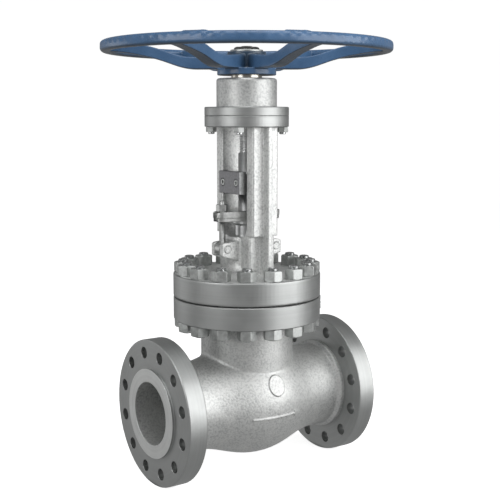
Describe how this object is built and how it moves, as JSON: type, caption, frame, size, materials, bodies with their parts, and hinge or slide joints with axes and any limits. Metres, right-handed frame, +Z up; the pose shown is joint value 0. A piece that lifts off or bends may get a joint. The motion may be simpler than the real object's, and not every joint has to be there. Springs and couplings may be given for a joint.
{
  "type": "globe valve",
  "caption": "Flanged globe valve with a bulbous cast body, bolted bonnet with an open yoke, rising stem in a packed gland, and a large spoked handwheel.",
  "frame": {"origin": "where the pipe axis crosses the stem axis", "axes": "+X along the flow to the outlet flange, +Z up along the stem to the handwheel, +Y completes the right hand"},
  "size_m": [0.706, 0.706, 1.0628],
  "materials": {
    "cast_steel": "silver-painted sand casting, fine grain",
    "machined_steel": "turned satin",
    "fastener_steel": "satin zinc",
    "stainless": "ground, bright",
    "dark_steel": "dark phosphated",
    "bronze": "machined bronze",
    "graphite": "braided graphite",
    "gasket": "spiral wound, graphite filled",
    "wheel_paint": "blue enamel over casting",
    "bearing_steel": "polished"
  },
  "bodies": {
    "frame": {"inlet_barrel": "cast_steel", "outlet_barrel": "cast_steel", "neck": "cast_steel", "partition": "cast_steel", "inlet_end_flange": "cast_steel", "outlet_end_flange": "cast_steel", "body_flange": "cast_steel", "seat_ring": "stainless", "bonnet_gasket": "gasket", "bonnet_yoke": "cast_steel", "backseat_bushing": "stainless", "bonnet_studs": "fastener_steel", "upper_bonnet_nuts": "fastener_steel", "lower_bonnet_nuts": "fastener_steel", "packing_rings": "graphite", "gland_bushing": "stainless", "gland_flange": "machined_steel", "inlet_side_eyebolt_pin": "fastener_steel", "outlet_side_eyebolt_pin": "fastener_steel", "bearing_housing": "cast_steel", "grease_nipple": "bronze", "housing_studs": "fastener_steel", "housing_nuts": "fastener_steel", "lower_bearing_bottom_race": "bearing_steel", "upper_bearing_top_race": "bearing_steel", "rating_plate": "stainless"},
    "handwheel": {"handwheel": "wheel_paint", "yoke_sleeve": "bronze", "handwheel_key": "machined_steel", "handwheel_washer": "fastener_steel", "handwheel_nut": "fastener_steel", "lower_bearing_top_race": "bearing_steel", "upper_bearing_bottom_race": "bearing_steel"},
    "stem": {"stem": "stainless", "stem_clamp": "dark_steel", "anti_rotation_plate": "dark_steel", "plate_screws": "fastener_steel"},
    "disc": {"disc": "stainless", "disc_nut": "stainless"},
    "lower_bearing": {"lower_bearing_cage": "bronze", "lower_bearing_balls": "bearing_steel"},
    "upper_bearing": {"upper_bearing_cage": "bronze", "upper_bearing_balls": "bearing_steel"},
    "inlet_eyebolt": {"inlet_side_eyebolt": "fastener_steel", "inlet_side_eyebolt_nut": "fastener_steel"},
    "outlet_eyebolt": {"outlet_side_eyebolt": "fastener_steel", "outlet_side_eyebolt_nut": "fastener_steel"}
  },
  "joints": [
    {"name": "handwheel_turn", "type": "hinge", "parent": "frame", "child": "handwheel", "pos_m": [0, 0, 0.75], "axis": [0, 0, 1], "range_deg": [0, 2700]},
    {"name": "stem_lift", "type": "slide", "parent": "frame", "child": "stem", "axis": [0, 0, 1], "range_m": [0, 0.0452]},
    {"name": "disc_swivel", "type": "hinge", "parent": "stem", "child": "disc", "pos_m": [0, 0, 0.06], "axis": [0, 0, 1], "continuous": true},
    {"name": "lower_bearing_roll", "type": "hinge", "parent": "frame", "child": "lower_bearing", "pos_m": [0, 0, 0.718], "axis": [0, 0, 1], "range_deg": [0, 1351]},
    {"name": "upper_bearing_roll", "type": "hinge", "parent": "frame", "child": "upper_bearing", "pos_m": [0, 0, 0.76], "axis": [0, 0, 1], "range_deg": [0, 1351]},
    {"name": "inlet_eyebolt_swing", "type": "hinge", "parent": "frame", "child": "inlet_eyebolt", "pos_m": [-0.072, 0, 0.382], "axis": [0, -1, 0], "range_deg": [0, 90]},
    {"name": "outlet_eyebolt_swing", "type": "hinge", "parent": "frame", "child": "outlet_eyebolt", "pos_m": [0.072, 0, 0.382], "axis": [0, 1, 0], "range_deg": [0, 90]}
  ],
  "couplings": [
    {"joint": "stem_lift", "follows": "handwheel_turn", "m_per_rad": 0.00095493},
    {"joint": "lower_bearing_roll", "follows": "handwheel_turn", "ratio": 0.5},
    {"joint": "upper_bearing_roll", "follows": "handwheel_turn", "ratio": 0.5}
  ]
}
